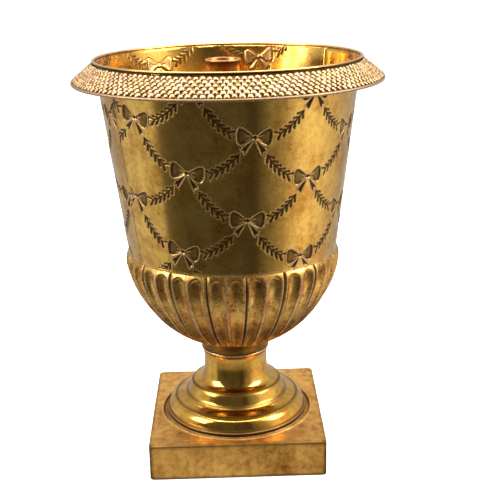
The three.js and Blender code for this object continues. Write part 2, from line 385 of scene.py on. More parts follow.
def stroke_depth(x, y, start, end, start_half, end_half):
    """How far points lie inside a stroke with round ends, negative outside it."""
    distance, share = from_side(x, y, start, end)
    return start_half + (end_half - start_half) * share - distance


def stem_points(count):
    share = np.linspace(0, 1, count)[:, None]
    a, b, c = (np.array(point, float) for point in STEM)
    return (1 - share) ** 2 * a + 2 * share * (1 - share) * b + share**2 * c


def lengths_along(line):
    """The length of a line up to each of its points."""
    return np.concatenate([[0], np.cumsum(np.hypot(*np.diff(line, axis=0).T))])


def garland_depth(x, y):
    line = stem_points(STEM_POINTS)
    lengths = lengths_along(line)
    depth = np.full(x.shape, -FAR_OFF)
    for start, end in zip(line[:-1:POINTS_PER_STROKE], line[POINTS_PER_STROKE::POINTS_PER_STROKE]):
        depth = np.maximum(depth, stroke_depth(x, y, start, end, STEM_HALF, STEM_HALF))
    for place in np.arange(FIRST_LEAF, lengths[-1], LEAF_STEP):
        root = np.array([np.interp(place, lengths, line[:, k]) for k in (0, 1)])
        ahead = np.array([np.interp(place + 1, lengths, line[:, k]) for k in (0, 1)]) - root
        heading = math.atan2(ahead[1], ahead[0])
        for side in (-1, 1):
            turn = heading + side * math.radians(LEAF_SPREAD)
            tip = root + LEAF_LENGTH * np.array([math.cos(turn), math.sin(turn)])
            depth = np.maximum(depth, stroke_depth(x, y, root, tip, LEAF_ROOT_HALF, LEAF_TIP_HALF))
    return depth


def motif(x, y):
    """One bow with the two garlands that hang from it: its relief, the tarnish in it with painted shade
    along the inner edges of the bow's pans, the pale border round it, its leaves, and how far points lie
    inside it."""
    x = np.abs(x)
    loops = inside_depth(x, y, rounded(LOOP))
    pans = np.maximum(loops, inside_depth(x, y, np.array(TAIL)))
    knot = KNOT_RADIUS - np.hypot(x, y)
    bow = np.maximum(pans, knot)
    garland = garland_depth(x, y)
    nearest = np.maximum(bow, garland)
    creases = np.maximum(*(stroke_depth(x, y, *line, *CREASE_HALVES) for line in CREASES))
    creased = smooth_step(-0.3, 0.1, creases) * (loops > 0)
    leaves = smooth_step(-0.4, 0.0, garland)
    pressed = np.maximum(smooth_step(-0.3, 0.6, bow), 0.8 * smooth_step(-0.4, 0.6, garland))
    relief = -EMBOSS_DEPTH * pressed + 0.25 * EMBOSS_DEPTH * smooth_step(1.2, 3.6, loops)
    relief += CREASE_RISE * creased + BORDER_RISE * bump(bow + 0.5, 0.4)
    # Painted shade: the pans' patina is darkest along their inner edges, as a shadow inside the pressed
    # recess
    pan_patina_and_edge_shade = np.where(loops > 0, 0.76 + 0.24 * bump(np.maximum(loops, 0.5) - 0.5, 1.1), 1.0)
    in_bow = np.maximum(smooth_step(-0.25, 0.05, pans) * pan_patina_and_edge_shade, smooth_step(-0.25, 0.2, knot))
    tarnish_and_shade = np.maximum(in_bow * (1 - 0.8 * creased), leaves)
    border = np.maximum(0.75 * bump(bow + 0.45, 0.25), 0.3 * bump(garland + 0.7, 0.25))
    border = np.maximum(border, 0.6 * creased)
    return {"relief": relief, "tarnish_and_shade": tarnish_and_shade, "border": border, "leaves": leaves, "nearest": nearest}


def pattern(angle, height, panel):
    """The embossing of one panel, at angles in radians and heights, as motif gives it."""
    cone = math.atan(WALL_SLOPE)
    apex = SHOULDER_HEIGHT - SHOULDER_RADIUS / WALL_SLOPE
    reach = (height - apex) / math.cos(cone)
    turn = (angle - math.radians(panel["centre"])) * math.sin(cone)
    x, y = reach * np.sin(turn), reach * np.cos(turn)
    first = (panel["height"] - apex) / math.cos(cone)
    whole = {name: np.zeros(x.shape) for name in ("relief", "tarnish_and_shade", "border", "leaves")}
    whole["nearest"] = np.full(x.shape, -BOW_PITCH)
    for row, column in itertools.product(ROWS, COLUMNS):
        level = first - row * ROW_PITCH
        across = panel["shift"] + (column + (0.5 if row % 2 else 0)) * BOW_PITCH
        near = (np.abs(x - across) < MOTIF_ASIDE) & (y < level + MOTIF_ABOVE) & (y > level - MOTIF_BELOW)
        if not near.any():
            continue
        found = motif(x[near] - across, y[near] - level)
        closer = np.abs(found["relief"]) > np.abs(whole["relief"][near])
        whole["relief"][near] = np.where(closer, found["relief"], whole["relief"][near])
        for name in ("tarnish_and_shade", "border", "leaves", "nearest"):
            whole[name][near] = np.maximum(whole[name][near], found[name])
    whole["border"] *= 1 - 0.8 * whole["tarnish_and_shade"]
    return whole


# Body
def wall_radius(height):
    return SHOULDER_RADIUS + WALL_SLOPE * (height - SHOULDER_HEIGHT)


def any_in_cell(marks):
    rows, columns = (size // STEPS for size in marks.shape)
    return marks[:-1, :-1].reshape(rows, STEPS, columns, STEPS).any(axis=(1, 3))


def wall_panel(side):
    """One of the wall's two panels; the front one laps over the back one at both seams."""
    panel = PANELS[side]
    on_top = side == "front"
    lap = SEAM_LAP * on_top
    start, end = math.radians(panel["from"] - lap), math.radians(panel["to"] + lap)
    low, high = SHOULDER_HEIGHT - WALL_TUCK, WALL_TOP + WALL_OVER
    columns = round((end - start) * wall_radius((low + high) / 2) / CELL)
    rows = round((high - low) / CELL)
    angle, height = np.meshgrid(np.linspace(start, end, columns * STEPS + 1),
                                np.linspace(low, high, rows * STEPS + 1))
    found = pattern(angle, height, panel)
    at_seam = np.minimum(angle - start, end - angle) * SHOULDER_RADIUS
    lift = SEAM_LIFT * on_top * (1 - smooth_step(3, 9, at_seam))
    foot_line = bump(height - SHOULDER_HEIGHT, 0.9)
    fade = smooth_step(SHOULDER_HEIGHT, SHOULDER_HEIGHT + 3, height) * smooth_step(0, 1.5, WALL_TOP - height)
    surface = wall_radius(height) + dents(angle, height, WALL_DENTS) + found["relief"] * fade + lift
    outer = around(surface + 0.35 * foot_line, angle, height)
    inner = around(surface - SHEET + 0.2, angle, height)
    embossed = (found["nearest"] > -0.95) & (found["nearest"] < 1.6)
    split = any_in_cell(embossed | (at_seam < 1.6) | (foot_line > 0.4))
    points, faces, used = split_sheet(outer, inner, split, any_in_cell(embossed & (height > INSIDE_SHOWS)))
    tarnish_and_shade = np.maximum(found["tarnish_and_shade"] * (0.3 + 0.7 * fade), 0.7 * bump(at_seam - 0.4, 0.9) * on_top)
    border = np.maximum(found["border"], 0.35 * foot_line)
    # Painted shade on the inner side, darker towards the bottom, deeper inside the vessel
    deep_inside_shade = 0.5 * (1 - smooth_step(195, 262, height))
    inside_tarnish_and_shade = np.maximum(np.maximum(0.9 * found["border"], 0.75 * found["leaves"]), deep_inside_shade)
    inside_border = 0.4 * found["tarnish_and_shade"] * (1 - found["leaves"])
    fields = {
        "tarnish_and_shade": np.concatenate([tarnish_and_shade.ravel(), inside_tarnish_and_shade.ravel()])[used],
        "edge": np.concatenate([border.ravel(), inside_border.ravel()])[used],
    }
    return make_piece("wall_" + side, points, faces, "embossed_brass", "body", fields)


def bowl_crest(share):
    """The bowl's profile over its flutes' ridges, from the band up to the shoulder."""
    rise, spread = CREST_HEIGHT - BAND_HEIGHT, SHOULDER_RADIUS + CREST_SWELL - BAND_RADIUS
    start, end = (BAND_RADIUS, BAND_HEIGHT), (BAND_RADIUS + spread, CREST_HEIGHT)
    lower = bezier((start, (BAND_RADIUS + 0.56 * spread, BAND_HEIGHT + 0.17 * rise),
                    (end[0] - 0.4, BAND_HEIGHT + 0.72 * rise), end), 60)
    upper = bezier((end, (end[0], CREST_HEIGHT + 3.2), (SHOULDER_RADIUS + 1.2, SHOULDER_HEIGHT - 1.8),
                    (SHOULDER_RADIUS - 0.1, SHOULDER_HEIGHT)), 12)
    line = np.concatenate([lower, upper, [(SHOULDER_RADIUS - 0.2, SHOULDER_HEIGHT + 0.2)]])
    lengths = lengths_along(line)
    place = share * lengths[-1]
    return np.interp(place, lengths, line[:, 0]), np.interp(place, lengths, line[:, 1])


def flutes(angle, share):
    """How the flutes and the ridges between them fall back from the crest, with their tarnish, the shade
    painted over the lower bowl and under the shoulder, and their pale edges.

    Every second ridge is a pair with a dark groove between, the others are single."""
    place = np.degrees(angle) / RIDGE_STEP - FIRST_RIDGE
    ridge = np.round(place)
    off = np.abs(place - ridge)
    paired = ridge % 2 == 0
    flank = np.where(paired, PAIR_HALF, SINGLE_HALF)
    side = np.clip((off - flank) / (0.5 - flank), 0, 1)
    floor = np.sin(0.5 * math.pi * side) ** 0.8
    low_end = 0.035 + 0.03 * (1 - floor)
    high_end = 0.972 - 0.05 * (1 - floor)
    ends = smooth_step(low_end, low_end + 0.05, share) * (1 - smooth_step(high_end - 0.03, high_end, share))
    depth = FLUTE_DEPTH * (0.5 + 0.5 * share) * floor * ends
    along = smooth_step(0.01, 0.05, share) * (1 - smooth_step(0.97, 1.0, share))
    groove = bump(off, GROOVE_HALF) * paired * along
    # Painted shade where the flutes' tops tuck in under the shoulder
    scoop = bump(share - 0.9, 0.05) * smooth_step(0.15, 0.8, floor) * (0.7 + 0.3 * np.sin(1.7 * ridge))
    # Painted shade over the lower bowl, which faces down
    foot = bump(share - 0.3, 0.26) * (0.75 + 0.25 * floor)
    beside_ridge = bump(side - 0.1, 0.09)
    tarnish_and_shade = np.clip(groove + 0.85 * scoop + 0.88 * foot + 0.35 * beside_ridge, 0, 1)
    on_ridge = np.where(paired, bump(off - flank, 0.03), bump(off, 0.05))
    edge = np.clip(0.5 * on_ridge * along + 0.6 * bump(share - 0.035, 0.012), 0, 1) * (1 - groove)
    return -depth - GROOVE_DEPTH * groove, tarnish_and_shade * (1 - 0.45 * on_ridge), edge


def fluted_bowl():
    even = np.linspace(0, 1, BOWL_ROWS)
    angle, share = np.meshgrid(np.linspace(0, 2 * math.pi, BOWL_COLUMNS, endpoint=False),
                               0.5 * even + 0.25 * (1 - np.cos(math.pi * even)))
    radius, height = bowl_crest(share)
    relief, tarnish_and_shade, edge = flutes(angle, share)
    step = np.gradient(np.stack([radius[:, 0], height[:, 0]]), axis=1)
    out = np.stack([step[1], -step[0]]) / np.hypot(*step)
    relief = relief + dents(angle, height, BOWL_DENTS)
    outer = around(radius + relief * out[0][:, None], angle, height + relief * out[1][:, None])
    sunk = relief - SHEET
    inner = around(radius + sunk * out[0][:, None], angle, height + sunk * out[1][:, None])[::2, ::2]
    points, faces = round_shell(outer, inner)
    fields = {
        # The inner side is darkened throughout: painted shade deep inside the vessel
        "tarnish_and_shade": np.concatenate([tarnish_and_shade.ravel(), 0.72 + 0.2 * edge[::2, ::2].ravel()]),
        "edge": np.concatenate([edge.ravel(), 0.5 * tarnish_and_shade[::2, ::2].ravel()]),
    }
    return make_piece("fluted_bowl", points, faces, "embossed_brass", "body", fields, "fluted_brass")


def lower_band():
    """The plain band under the flutes, with the floor of the vessel."""
    sweep = bezier(((WAIST_RADIUS, BODY_LOW), (WAIST_RADIUS + 0.4, BODY_LOW + 4.4),
                    (WAIST_RADIUS + 4.6, BODY_LOW + 8.2), (BAND_RADIUS + 0.3, BAND_HEIGHT + 0.2)), 14)
    back = bezier(((BAND_RADIUS - 0.5, BAND_HEIGHT + 1.3), (WAIST_RADIUS + 3.9, BODY_LOW + 9.6),
                   (WAIST_RADIUS - 1.2, BODY_LOW + 5), (WAIST_RADIUS - 1.6, BODY_LOW + SHEET)), 8)
    outline = [(0, BODY_LOW), *sweep, *back, (WAIST_RADIUS - 2, BODY_LOW + SHEET), (0, BODY_LOW + SHEET)]
    heights = np.array(outline)[:, 1]
    # The band faces down under the bowl: its dark field is painted shade, darkest where it meets the flutes
    fields = {
        "tarnish_and_shade": 0.85 + 0.15 * bump(heights - BAND_HEIGHT, 2),
        "edge": 0.4 * bump(heights - BODY_LOW, 0.8),
    }
    return turned("lower_band", outline, 144, "embossed_brass", "body", fields)


def lip():
    """The wall's upper edge, rolled outwards over a wire; painted shade darkens the underside of the roll."""
    centre = (wall_radius(WALL_TOP) + 0.4 * LIP_RADIUS, BODY_TOP - 0.75 * LIP_RADIUS)
    outline = arc(centre, 0.75 * LIP_RADIUS, -90, 250, 16)
    # Painted shade under the roll
    under = 1 - smooth_step(0.1, 0.7, outline[:, 1] - centre[1])
    outwards = smooth_step(-0.4, 0.3, outline[:, 0] - centre[0])
    fields = {"tarnish_and_shade": under * outwards, "edge": 0.35 * (1 - under)}
    return turned("lip", outline, 288, "embossed_brass", "body", fields)


# Rim band: a sloping collar of beaded sheet with a plain hem
def collar_line():
    """The upper and the lower end of the collar's slope, as radius and height."""
    upper = (wall_radius(WALL_TOP) + 0.4, WALL_TOP + 0.1)
    hem = (COLLAR_RADIUS - 1.1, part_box("rim_band")[0].z / MM + 1.1)
    return np.array(upper), np.array(hem)


def collar_sheet():
    upper, hem = collar_line()
    roll = arc(hem, 1.05, -178, 75, 16)
    outline = [(upper[0], upper[1] - 1.1), (hem[0] - 1.4, hem[1] - 0.1), *roll, (hem[0] - 0.9, hem[1] + 0.8),
               (upper[0] + 2.2, upper[1] - 1.4), (upper[0] + 1.0, upper[1])]
    line = np.array(outline)
    # Painted shade on the sheet in the gaps between the beads and under the lip
    above_roll = smooth_step(hem[1] + 0.6, hem[1] + 1.1, line[:, 1])
    fields = {"tarnish_and_shade": np.maximum(above_roll, 0.35), "edge": 0.5 * bump(line[:, 1] - hem[1] - 0.4, 0.4)}
    return turned("collar_sheet", outline, 240, "beaded_brass", "rim_band", fields)


def bead_tree():
    """Rows of low domes around a cone, each row set half a bead round from the row above it."""
    tree = bpy.data.node_groups.new("beaded collar", "GeometryNodeTree")
    face = tree.interface
    face.new_socket("Geometry", in_out="INPUT", socket_type="NodeSocketGeometry")
    ends = ("Upper radius", "Upper height", "Lower radius", "Lower height")
    for name in (*ends, "Bead radius", "Flatness", "Tilt"):
        face.new_socket(name, in_out="INPUT", socket_type="NodeSocketFloat")
    for name in ("Beads round", "Rows"):
        face.new_socket(name, in_out="INPUT", socket_type="NodeSocketInt")
    face.new_socket("Finish", in_out="INPUT", socket_type="NodeSocketMaterial")
    face.new_socket("Geometry", in_out="OUTPUT", socket_type="NodeSocketGeometry")
    given = add_node(tree, "NodeGroupInput").outputs

    count = add_node(tree, MATH, MULTIPLY, {0: given["Beads round"], 1: given["Rows"]})
    beads = add_node(tree, "GeometryNodePoints", links={"Count": count})
    index = add_node(tree, "GeometryNodeInputIndex")
    middle = add_node(tree, MATH, ADD, {0: index, 1: 0.5})
    turns = add_node(tree, MATH, {"operation": "DIVIDE"}, {0: middle, 1: given["Beads round"]})
    row = add_node(tree, MATH, {"operation": "FLOOR"}, {0: turns})
    odd = add_node(tree, MATH, {"operation": "MODULO"}, {0: row, 1: 2.0})
    half = add_node(tree, MATH, MULTIPLY, {0: odd, 1: 0.5})
    shifted = add_node(tree, MATH, ADD, {0: index, 1: half})
    round_share = add_node(tree, MATH, {"operation": "DIVIDE"}, {0: shifted, 1: given["Beads round"]})
    angle = add_node(tree, MATH, MULTIPLY, {0: round_share, 1: 2 * math.pi})
    cosine = add_node(tree, MATH, {"operation": "COSINE"}, {0: angle})
    sine = add_node(tree, MATH, {"operation": "SINE"}, {0: angle})

    row_middle = add_node(tree, MATH, ADD, {0: row, 1: 0.5})
    share = add_node(tree, MATH, {"operation": "DIVIDE"}, {0: row_middle, 1: given["Rows"]})
    radius = add_node(tree, MIX, {"data_type": "FLOAT"}, {
        0: share, 2: given["Upper radius"], 3: given["Lower radius"]})
    height = add_node(tree, MIX, {"data_type": "FLOAT"}, {
        0: share, 2: given["Upper height"], 3: given["Lower height"]})
    x = add_node(tree, MATH, MULTIPLY, {0: radius, 1: cosine})
    y = add_node(tree, MATH, MULTIPLY, {0: radius, 1: sine})
    place = add_node(tree, XYZ, links={0: x, 1: y, 2: height})
    placed = add_node(tree, "GeometryNodeSetPosition", links={"Geometry": beads, "Position": place})

    fall = add_node(tree, MATH, {"operation": "SUBTRACT"}, {
        0: given["Upper height"], 1: given["Lower height"]})
    run = add_node(tree, MATH, {"operation": "SUBTRACT"}, {
        0: given["Lower radius"], 1: given["Upper radius"]})
    out_x = add_node(tree, MATH, MULTIPLY, {0: fall, 1: cosine})
    out_y = add_node(tree, MATH, MULTIPLY, {0: fall, 1: sine})
    outwards = add_node(tree, XYZ, links={0: out_x, 1: out_y, 2: run})
    upright = add_node(tree, "FunctionNodeAlignRotationToVector", {"axis": "Z"}, {"Vector": outwards})
    other_way = add_node(tree, MATH, MULTIPLY, {0: given["Tilt"], 1: -1.0})
    least = add_node(tree, XYZ, links={0: other_way, 1: other_way})
    most = add_node(tree, XYZ, links={0: given["Tilt"], 1: given["Tilt"]})
    lean = add_node(tree, "FunctionNodeRandomValue", {"data_type": "FLOAT_VECTOR"}, {
        0: least, 1: most, "Seed": TILT_SEED})
    turn = add_node(tree, "FunctionNodeEulerToRotation", links={0: lean})
    tilted = add_node(tree, "FunctionNodeRotateRotation", {"rotation_space": "LOCAL"}, {0: upright, 1: turn})

    dome = add_node(tree, "GeometryNodeMeshUVSphere", links={
        "Segments": 10, "Rings": 6, "Radius": given["Bead radius"]})
    size = add_node(tree, "FunctionNodeRandomValue", {"data_type": "FLOAT"}, {
        2: BEAD_SIZES[0], 3: BEAD_SIZES[1], "Seed": SIZE_SEED}).outputs[1]
    low = add_node(tree, MATH, MULTIPLY, {0: size, 1: given["Flatness"]})
    scale = add_node(tree, XYZ, links={0: size, 1: size, 2: low})
    made = add_node(tree, "GeometryNodeInstanceOnPoints", links={
        "Points": placed, "Instance": dome, "Rotation": tilted, "Scale": scale})
    real = add_node(tree, "GeometryNodeRealizeInstances", links={"Geometry": made})
    smooth = add_node(tree, "GeometryNodeSetShadeSmooth", links={"Geometry": real})
    finished = add_node(tree, "GeometryNodeSetMaterial", links={
        "Geometry": smooth, "Material": given["Finish"]})
    add_node(tree, "NodeGroupOutput", links={0: finished})
    return tree


def grown(name, tree, sizes):
    """The plain mesh that a tree makes with the given sizes."""
    seed = bpy.data.objects.new(name, bpy.data.meshes.new(name + "_seed"))
    bpy.context.scene.collection.objects.link(seed)
    modifier = seed.modifiers.new(name, "NODES")
    modifier.node_group = tree
    for socket in tree.interface.items_tree:
        if socket.in_out == "INPUT" and socket.name in sizes:
            modifier[socket.identifier] = sizes[socket.name]
    evaluated = seed.evaluated_get(bpy.context.evaluated_depsgraph_get())
    mesh = bpy.data.meshes.new_from_object(evaluated)
    mesh.name = name
    bpy.data.objects.remove(seed)
    return mesh


def collar_beads():
    """The collar's pressed beads, with dirt and painted shade where they meet, and rubbed pale on top."""
    upper, hem = collar_line()
    slope = (hem - upper) / np.hypot(*(hem - upper))
    away = np.array([-slope[1], slope[0]])
    first, last = upper + 1.2 * slope - 0.15 * away, hem - 1.0 * slope + 0.35 * away
    sizes = {
        "Upper radius": first[0] * MM, "Upper height": first[1] * MM,
        "Lower radius": last[0] * MM, "Lower height": last[1] * MM,
        "Bead radius": BEAD_RADIUS * MM, "Flatness": BEAD_FLATNESS, "Tilt": math.radians(BEAD_TILT),
        "Beads round": BEADS_ROUND, "Rows": BEAD_ROWS, "Finish": FINISHES["beaded_brass"],
    }
    mesh = grown("collar_beads", bead_tree(), sizes)
    places = np.empty(3 * len(mesh.vertices))
    mesh.vertices.foreach_get("co", places)
    points = places.reshape(-1, 3) / MM
    out = np.hypot(points[:, 0], points[:, 1])
    along = np.clip((out - first[0]) / (last[0] - first[0]), 0, 1)
    middle = first + along[:, None] * (last - first)
    rise = (out - middle[:, 0]) * away[0] + (points[:, 2] - middle[:, 1]) * away[1]
    dome = BEAD_RADIUS * BEAD_FLATNESS
    # Dirt and painted shade where the beads meet; their crowns are rubbed pale
    add_fields(mesh, {
        "tarnish_and_shade": 1 - smooth_step(0.25 * dome, 0.75 * dome, rise),
        "edge": 0.5 * smooth_step(0.7 * dome, dome, rise),
    })
    return finish_piece(mesh, "beaded_brass", "rim_band")


# Foot, spun from sheet
def hand_worked(points):
    """Moves points in and out by a two-thousandth or so, as hand spinning leaves them."""
    angle, height = np.arctan2(points[..., :1], -points[..., 1:2]), points[..., 2:]
    return points * (1 + dents(angle, height, 0.0022) * [1, 1, 0])


def foot():
    low = FOOT_LOW
    outline = [
        (FOOT_RADIUS - 0.3, low), (FOOT_RADIUS, low + 0.4), (FOOT_RADIUS, low + 1.9),
        (FOOT_RADIUS - 0.5, low + 2.5), (FOOT_RADIUS - 1.3, low + 2.6),
        *bezier(((52.9, low + 2.7), (52.7, low + 7.4), (50.2, low + 10.6), (47.3, low + 11.4)), 12),
        (46.9, low + 11.7), (46.2, low + 11.9),
        *bezier(((45.6, low + 12.1), (43.2, low + 12.6), (40.2, low + 13.4), (38.5, low + 15.0)), 8),
        (38.2, low + 15.6),
        *bezier(((37.4, low + 16.4), (36.4, low + 18.4), (35.6, low + 21.4), (34.3, low + 23.6)), 7),
        (33.9, low + 24.1), (33.4, low + 24.5), (32.8, low + 24.7),
        *bezier(((32.2, low + 24.8), (27, low + 25.3), (23.7, low + 29.6), (24.2, low + 43)), 16),
        (24.3, low + 45.5), (24.5, low + 48), (24.9, low + 50), (25.5, low + 50.6), (25.9, low + 51.3),
        (25.8, low + 51.9), (25.2, FOOT_TOP),
        (23.2, FOOT_TOP), (22.8, low + 44), (22.6, low + 36), (24.2, low + 29), (30, low + 24),
        (36, low + 14), (44, low + 10.4), (50, low + 5), (51.2, low),
    ]
    line = np.array(outline)
    # Painted shade in the creases between the mouldings, and a darker outer side to the flange
    creases = ((47, low + 11.8), (38.3, low + 15.2), (33.9, low + 24.2), (53, low + 2.7), (24.9, low + 49.6))
    tarnish_and_shade = sum(bump(np.hypot(line[:, 0] - radius, line[:, 1] - height), 1.25)
                  for radius, height in creases)
    flange_side = (line[:, 0] > FOOT_RADIUS - 0.4) & (line[:, 1] < low + 2)
    tarnish_and_shade += 0.9 * flange_side
    edge = 0.3 * bump(np.hypot(line[:, 0] - FOOT_RADIUS + 0.5, line[:, 1] - low - 2.5), 0.5)
    edge += 0.6 * bump(line[:, 1] - low - 51.6, 0.6)
    fields = {"tarnish_and_shade": np.clip(tarnish_and_shade, 0, 1), "edge": np.clip(edge, 0, 1)}
    return turned("spun_foot", outline, 160, "polished_brass", "foot", fields, hand_worked)


# Plinth, folded from sheet, with a ring pressed round the foot
PLINTH_COLUMNS = 320
CORNER_SHARPNESS = 60
CORNER_CROWDING = 0.105
PLATE_SHARES = (0, 0.12, 0.26, 0.42, 0.58, 0.74, 0.88)

# Pressed groove, from the foot's edge to its middle, and the raised ring beside it, from the groove's middle
FOOT_TO_GROOVE = 1.5
PRESSED_HALF = 1.45
PRESSED_DEPTH = 1.4
GROOVE_TO_RING = 1.9
GROOVE_TO_PLATE = 2.8
RING_HALF = 0.5
RING_RISE = 0.5
PLATE_SAG = 0.12


def plinth_angles():
    """Angles of the plinth's columns, crowded towards its four corners."""
    quarter = 4 * np.arange(PLINTH_COLUMNS) / PLINTH_COLUMNS
    within = quarter % 1
    return (np.floor(quarter) + within + CORNER_CROWDING * np.sin(2 * math.pi * within)) * math.pi / 2


def plinth():
    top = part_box("plinth")[1].z / MM - RING_RISE
    half = PLINTH_HALF
    groove = FOOT_RADIUS + FOOT_TO_GROOVE
    ring_end = groove + GROOVE_TO_PLATE
    angle = plinth_angles()
    sine, cosine = np.sin(angle), -np.cos(angle)
    square = (np.abs(sine) ** CORNER_SHARPNESS
              + np.abs(cosine) ** CORNER_SHARPNESS) ** (-1 / CORNER_SHARPNESS)

    round_rings = [(47, top - 1.2), (47, top), (49, top), (51, top), (53, top), (FOOT_RADIUS - 0.3, top)]
    round_rings += [(groove + PRESSED_HALF * math.sin(turn), top - PRESSED_DEPTH * math.cos(turn) ** 0.7)
                    for turn in np.radians((-80, -60, -35, 0, 35, 60, 80))]
    round_rings += [(groove + GROOVE_TO_RING + RING_HALF * math.sin(turn), top + RING_RISE * math.cos(turn))
                    for turn in np.radians((-70, -25, 25, 70))]
    square_rings = [(half - 1.6, top), (half - 0.9, top - 0.1), (half - 0.35, top - 0.4),
                    (half - 0.05, top - 1.0), (half, top - 1.8),
                    *((half, height) for height in np.linspace(top - 4, 3, 9)),
                    (half, 1.4), (half - 0.2, 0.6), (half - 0.7, 0.12), (half - 1.4, 0), (half - 5.6, 0),
                    (half - 6, 0.5), (half - 5.6, 1.2), (half - 1.8, 1.4), (half - 1.2, 2.4),
                    (half - 1.2, top - 1.9), (half - 2.2, top - 1.2)]
    reaches = [(np.full(PLINTH_COLUMNS, radius), height) for radius, height in round_rings]
    plate_edge = (half - 1.6) * square
    reaches += [(ring_end + (plate_edge - ring_end) * share, top) for share in PLATE_SHARES]
    reaches += [(size * square, height) for size, height in square_rings]

    reach = np.array([line for line, _ in reaches])
    height = np.array([level for _, level in reaches])[:, None] + np.zeros(PLINTH_COLUMNS)
    x, y = reach * sine, reach * cosine
    waves = PLATE_SAG * np.sin(0.06 * x + 1.0) * np.sin(0.05 * y + 2.0)
    points = np.stack([x, y, height + waves * smooth_step(top - 0.6, top, height)], axis=-1)
    rim = reach / square > half - 1.7
    corner = bump(np.minimum(np.abs(x), np.abs(y)) - half + 1.0, 1.5)
    folds = bump(height - top + 0.8, 1.0) + bump(height - 0.6, 1.3)
    # Patina and painted shade in the pressed groove round the foot's flange
    in_groove = bump(np.hypot(x, y) - groove, 1.8) * (height < top + 0.05) * (reach < ring_end)
    tarnish_and_shade = np.clip(in_groove + 0.9 * rim * np.clip(folds + corner, 0, 1), 0, 1)
    edge = 0.5 * bump(reach - groove - GROOVE_TO_RING, 0.6) * (height > top + 0.1)
    faces = grid_faces(len(reaches), PLINTH_COLUMNS, looped=True)[:, ::-1]
    fields = {"tarnish_and_shade": tarnish_and_shade.ravel(), "edge": edge.ravel()}
    return make_piece("folded_plinth", points.reshape(-1, 3), faces, "satin_brass", "plinth", fields)


# Tube, leaning a little to the left
def leaning(points):
    """Moves points to the left with their height."""
    share = (points[..., 2:] - TUBE_LOW) / (TUBE_TOP - TUBE_LOW)
    return points + share * [TUBE_LEAN, 0, 0]


def centre_tube():
    straight = [(TUBE_RADIUS, height) for height in np.linspace(100, TUBE_TOP - 5, 6)]
    outline = [(TUBE_BORE, TUBE_LOW), (TUBE_RADIUS, TUBE_LOW), *straight, (TUBE_RADIUS, TUBE_TOP - 1.9),
               (TUBE_RADIUS + 0.4, TUBE_TOP - 1.3), (TUBE_RADIUS + 0.5, TUBE_TOP - 0.6),
               (TUBE_RADIUS + 0.3, TUBE_TOP - 0.1), (TUBE_RADIUS - 0.2, TUBE_TOP),
               (TUBE_BORE + 0.2, TUBE_TOP - 0.05), (TUBE_BORE, TUBE_TOP - 0.5)]
    heights = np.array(outline)[:, 1]
    fields = {
        # Painted shade just under the top bead
        "tarnish_and_shade": 0.1 + 0.6 * bump(heights - TUBE_TOP + 2.1, 0.6),
        "edge": 0.6 * bump(heights - TUBE_TOP, 0.7),
    }
    return turned("copper_tube", outline, 96, "copper", "centre_tube", fields, leaning)


# Materials
def linear(hex_colour):
    """An sRGB hex colour as the linear colour that a shader takes."""
    parts = [int(hex_colour[k:k + 2], 16) / 255 for k in (1, 3, 5)]
    return [part / 12.92 if part <= 0.04045 else ((part + 0.055) / 1.055) ** 2.4 for part in parts] + [1.0]


